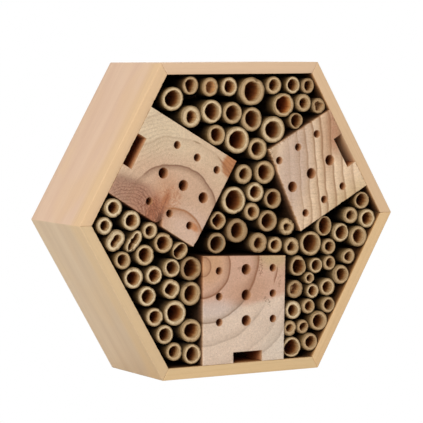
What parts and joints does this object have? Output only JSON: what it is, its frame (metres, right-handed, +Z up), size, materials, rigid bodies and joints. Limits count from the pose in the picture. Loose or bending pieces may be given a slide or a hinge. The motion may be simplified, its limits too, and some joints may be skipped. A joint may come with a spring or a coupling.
{
  "type": "insect hotel",
  "caption": "Flat-topped hexagonal wooden insect hotel packed with bamboo tubes and drilled timber blocks, with a closed back and a swinging hanging ring.",
  "frame": {"origin": "middle of the underside: centre of the bottom board's outer face", "axes": "+X to the right seen from the front, +Y to the back, +Z up; the open front faces -Y"},
  "size_m": [0.231, 0.07, 0.2],
  "materials": {
    "pine_board": "planed softwood, untreated, matt",
    "drilled_timber": "sawn end grain with growth rings, matt",
    "bamboo": "cut bamboo, satin skin and matt cut ends",
    "back_board": "dark pressed fibreboard, matt",
    "brad_steel": "bright wire nail",
    "screw_steel": "zinc plated",
    "hanger_steel": "zinc plated sheet and wire"
  },
  "bodies": {
    "hotel": {"back_panel": "back_board", "back_panel_brads": "brad_steel", "bamboo_centre_01": "bamboo", "bamboo_centre_02": "bamboo", "bamboo_centre_03": "bamboo", "bamboo_centre_04": "bamboo", "bamboo_centre_05": "bamboo", "bamboo_centre_06": "bamboo", "bamboo_centre_07": "bamboo", "bamboo_centre_08": "bamboo", "bamboo_centre_09": "bamboo", "bamboo_centre_10": "bamboo", "bamboo_centre_11": "bamboo", "bamboo_centre_12": "bamboo", "bamboo_centre_13": "bamboo", "bamboo_left_row_1": "bamboo", "bamboo_left_row_2": "bamboo", "bamboo_left_row_3": "bamboo", "bamboo_left_row_4": "bamboo", "bamboo_left_row_5": "bamboo", "bamboo_left_row_6": "bamboo", "bamboo_right_row_1": "bamboo", "bamboo_right_row_2": "bamboo", "bamboo_right_row_3": "bamboo", "bamboo_right_row_4": "bamboo", "bamboo_right_row_5": "bamboo", "bamboo_right_row_6": "bamboo", "bamboo_top_01": "bamboo", "bamboo_top_02": "bamboo", "bamboo_top_03": "bamboo", "bamboo_top_04": "bamboo", "bamboo_top_05": "bamboo", "bamboo_top_06": "bamboo", "bamboo_top_07": "bamboo", "bamboo_top_08": "bamboo", "bamboo_top_09": "bamboo", "bamboo_top_10": "bamboo", "bamboo_top_11": "bamboo", "bamboo_top_12": "bamboo", "bamboo_top_13": "bamboo", "bamboo_top_14": "bamboo", "bamboo_top_15": "bamboo", "bamboo_top_16": "bamboo", "bamboo_top_17": "bamboo", "bamboo_top_18": "bamboo", "bamboo_top_19": "bamboo", "bamboo_top_20": "bamboo", "block_bottom": "drilled_timber", "block_brads": "brad_steel", "block_upper_left": "drilled_timber", "block_upper_right": "drilled_timber", "frame_board_bottom": "pine_board", "frame_board_lower_left": "pine_board", "frame_board_lower_right": "pine_board", "frame_board_top": "pine_board", "frame_board_upper_left": "pine_board", "frame_board_upper_right": "pine_board", "hanger_plate": "hanger_steel", "hanger_screws": "screw_steel"},
    "hanger_ring": {"hanger_ring": "hanger_steel"}
  },
  "joints": [
    {"name": "hanger_ring_swing", "type": "hinge", "parent": "hotel", "child": "hanger_ring", "pos_m": [0, 0.03236, 0.166], "axis": [1, 0, 0], "range_deg": [0, 180]}
  ]
}
